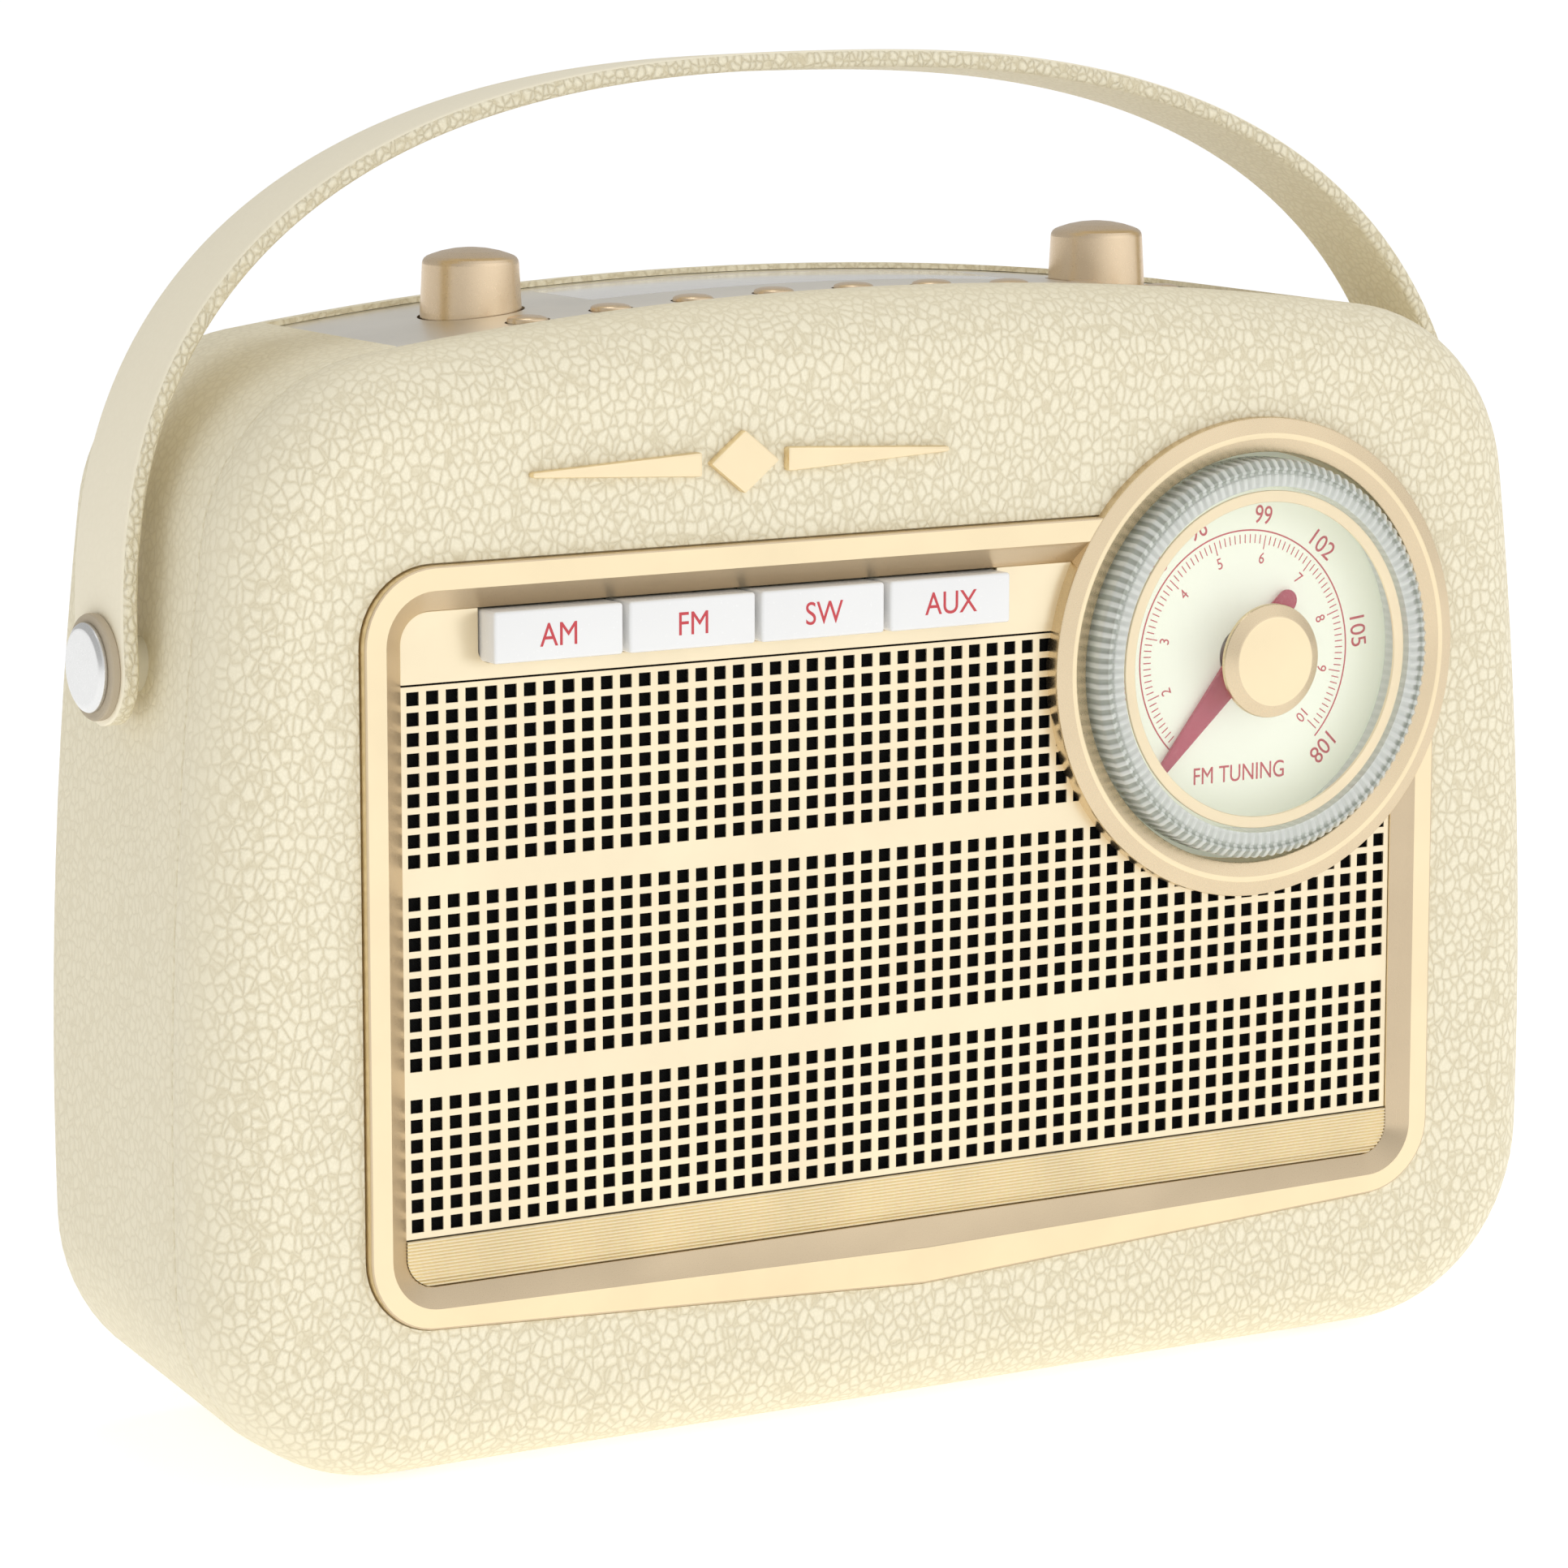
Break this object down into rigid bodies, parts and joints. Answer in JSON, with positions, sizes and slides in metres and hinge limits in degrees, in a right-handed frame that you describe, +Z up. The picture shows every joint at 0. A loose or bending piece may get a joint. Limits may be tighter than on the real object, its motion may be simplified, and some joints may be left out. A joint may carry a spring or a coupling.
{
  "type": "portable radio",
  "caption": "Leather-covered portable radio with a swinging strap handle, tuning dial, press keys, top knobs, battery door and folding aerial.",
  "frame": {"origin": "on the floor under the centre of the whole object's box", "axes": "+X to the listener's right, +Y to the back, +Z up"},
  "size_m": [0.272, 0.083, 0.2276],
  "materials": {
    "cream_leather": "pebbled cream leatherette with tan grain, satin",
    "cream_shell": "cream moulded plastic, matt",
    "door_plastic": "cream moulded plastic with a fine spark texture",
    "champagne_metal": "satin champagne gold anodised",
    "grille_metal": "champagne lacquered sheet",
    "trim_metal": "champagne lacquer over fine ribs",
    "knob_metal": "satin champagne metal",
    "top_metal": "brushed champagne grey",
    "acoustic_cloth": "black acoustic cloth",
    "dial_print": "pale green-cream dial with red print",
    "dial_clear": "clear moulded acrylic",
    "window_clear": "clear window",
    "pointer_red": "crimson moulded plastic",
    "key_white": "white moulded plastic with red print",
    "stud_steel": "satin nickel",
    "washer_texture": "beige grained washer",
    "black_rubber": "soft black rubber",
    "black_plastic": "black moulded plastic",
    "screw_steel": "zinc-plated steel",
    "chrome_tube": "polished chrome tube",
    "pcb": "green circuit board",
    "steel_can": "tinned steel",
    "speaker_steel": "black passivated steel",
    "ferrite": "ferrite magnet",
    "cone_paper": "black paper cone",
    "cell_wrap": "plain blue cell wrap"
  },
  "bodies": {
    "case": {"front_shell": "cream_shell", "rear_shell": "cream_shell", "front_leather": "cream_leather", "rear_leather": "cream_leather", "fascia_bezel": "champagne_metal", "key_panel": "grille_metal", "speaker_grille": "grille_metal", "ribbed_trim": "trim_metal", "grille_cloth": "acoustic_cloth", "dial_ring": "champagne_metal", "dial_plate": "dial_print", "front_badge": "champagne_metal", "top_panel": "top_metal", "display_window": "window_clear", "display_module": "black_plastic", "speaker_basket": "speaker_steel", "speaker_cone": "cone_paper", "speaker_magnet": "ferrite", "main_board": "pcb", "tuner_module": "steel_can", "key_board": "pcb", "top_board": "pcb", "volume_encoder": "steel_can", "select_encoder": "steel_can", "tuning_encoder": "steel_can", "batteries": "cell_wrap", "rear_sockets": "black_plastic", "case_screws": "screw_steel", "rubber_feet": "black_rubber", "pivot_bushes": "black_plastic"},
    "handle": {"handle_strap": "cream_leather", "handle_washers": "washer_texture", "handle_studs": "stud_steel"},
    "tuning_dial": {"dial_knob": "dial_clear", "dial_trim": "champagne_metal", "dial_pointer": "pointer_red", "dial_cap": "knob_metal", "tuning_shaft": "screw_steel"},
    "volume_rotor": {"volume_shaft": "screw_steel"},
    "volume_cap": {"volume_knob": "knob_metal"},
    "select_rotor": {"select_shaft": "screw_steel"},
    "select_cap": {"select_knob": "knob_metal"},
    "battery_door": {"battery_door": "door_plastic"},
    "aerial_base": {"aerial_swivel": "chrome_tube"},
    "aerial_outer": {"aerial_tube_1": "chrome_tube"},
    "aerial_middle": {"aerial_tube_2": "chrome_tube"},
    "aerial_inner": {"aerial_tube_3": "chrome_tube"},
    "key_1": {"mode_key_1": "key_white"},
    "key_2": {"mode_key_2": "key_white"},
    "key_3": {"mode_key_3": "key_white"},
    "key_4": {"mode_key_4": "key_white"},
    "button_1": {"preset_button_1": "knob_metal"},
    "button_2": {"preset_button_2": "knob_metal"},
    "button_3": {"preset_button_3": "knob_metal"},
    "button_4": {"preset_button_4": "knob_metal"},
    "button_5": {"preset_button_5": "knob_metal"},
    "button_6": {"preset_button_6": "knob_metal"},
    "button_7": {"preset_button_7": "knob_metal"},
    "button_8": {"preset_button_8": "knob_metal"},
    "button_9": {"preset_button_9": "knob_metal"}
  },
  "joints": [
    {"name": "handle_swing", "type": "hinge", "parent": "case", "child": "handle", "pos_m": [0, 0, 0.133], "axis": [1, 0, 0], "range_deg": [-86.5, 93.5]},
    {"name": "tuning_turn", "type": "hinge", "parent": "case", "child": "tuning_dial", "pos_m": [0.0663, -0.0335, 0.1242], "axis": [0, 1, 0], "range_deg": [0, 270]},
    {"name": "volume_turn", "type": "hinge", "parent": "case", "child": "volume_rotor", "pos_m": [-0.0618, 0.0075, 0.178], "axis": [0, 0, 1], "continuous": true},
    {"name": "volume_press", "type": "slide", "parent": "volume_rotor", "child": "volume_cap", "axis": [0, 0, -1], "range_m": [0, 0.0008], "stiffness_N_per_m": 900, "springref_m": -0.0004},
    {"name": "select_turn", "type": "hinge", "parent": "case", "child": "select_rotor", "pos_m": [0.0618, 0.0075, 0.178], "axis": [0, 0, 1], "continuous": true},
    {"name": "select_press", "type": "slide", "parent": "select_rotor", "child": "select_cap", "axis": [0, 0, -1], "range_m": [0, 0.0008], "stiffness_N_per_m": 900, "springref_m": -0.0004},
    {"name": "battery_door_open", "type": "hinge", "parent": "case", "child": "battery_door", "pos_m": [0, 0.0334, 0.0146], "axis": [-1, 0, 0], "range_deg": [0, 95]},
    {"name": "aerial_turn", "type": "hinge", "parent": "case", "child": "aerial_base", "pos_m": [0.08, 0.0382, 0.168], "axis": [0, 1, 0], "range_deg": [0, 180]},
    {"name": "aerial_tilt", "type": "hinge", "parent": "aerial_base", "child": "aerial_outer", "pos_m": [0.08, 0.0382, 0.168], "axis": [0, 0, -1], "range_deg": [0, 90]},
    {"name": "aerial_pull_1", "type": "slide", "parent": "aerial_outer", "child": "aerial_middle", "axis": [-1, 0, 0], "range_m": [0, 0.12]},
    {"name": "aerial_pull_2", "type": "slide", "parent": "aerial_middle", "child": "aerial_inner", "axis": [-1, 0, 0], "range_m": [0, 0.12]},
    {"name": "key_1_press", "type": "slide", "parent": "case", "child": "key_1", "axis": [0, 1, 0], "range_m": [0, 0.0025], "stiffness_N_per_m": 400, "springref_m": -0.001},
    {"name": "key_2_press", "type": "slide", "parent": "case", "child": "key_2", "axis": [0, 1, 0], "range_m": [0, 0.0025], "stiffness_N_per_m": 400, "springref_m": -0.001},
    {"name": "key_3_press", "type": "slide", "parent": "case", "child": "key_3", "axis": [0, 1, 0], "range_m": [0, 0.0025], "stiffness_N_per_m": 400, "springref_m": -0.001},
    {"name": "key_4_press", "type": "slide", "parent": "case", "child": "key_4", "axis": [0, 1, 0], "range_m": [0, 0.0025], "stiffness_N_per_m": 400, "springref_m": -0.001},
    {"name": "button_1_press", "type": "slide", "parent": "case", "child": "button_1", "axis": [0, 0, -1], "range_m": [0, 0.0006], "stiffness_N_per_m": 400, "springref_m": -0.0003},
    {"name": "button_2_press", "type": "slide", "parent": "case", "child": "button_2", "axis": [0, 0, -1], "range_m": [0, 0.0006], "stiffness_N_per_m": 400, "springref_m": -0.0003},
    {"name": "button_3_press", "type": "slide", "parent": "case", "child": "button_3", "axis": [0, 0, -1], "range_m": [0, 0.0006], "stiffness_N_per_m": 400, "springref_m": -0.0003},
    {"name": "button_4_press", "type": "slide", "parent": "case", "child": "button_4", "axis": [0, 0, -1], "range_m": [0, 0.0006], "stiffness_N_per_m": 400, "springref_m": -0.0003},
    {"name": "button_5_press", "type": "slide", "parent": "case", "child": "button_5", "axis": [0, 0, -1], "range_m": [0, 0.0006], "stiffness_N_per_m": 400, "springref_m": -0.0003},
    {"name": "button_6_press", "type": "slide", "parent": "case", "child": "button_6", "axis": [0, 0, -1], "range_m": [0, 0.0006], "stiffness_N_per_m": 400, "springref_m": -0.0003},
    {"name": "button_7_press", "type": "slide", "parent": "case", "child": "button_7", "axis": [0, 0, -1], "range_m": [0, 0.0006], "stiffness_N_per_m": 400, "springref_m": -0.0003},
    {"name": "button_8_press", "type": "slide", "parent": "case", "child": "button_8", "axis": [0, 0, -1], "range_m": [0, 0.0006], "stiffness_N_per_m": 400, "springref_m": -0.0003},
    {"name": "button_9_press", "type": "slide", "parent": "case", "child": "button_9", "axis": [0, 0, -1], "range_m": [0, 0.0006], "stiffness_N_per_m": 400, "springref_m": -0.0003}
  ]
}
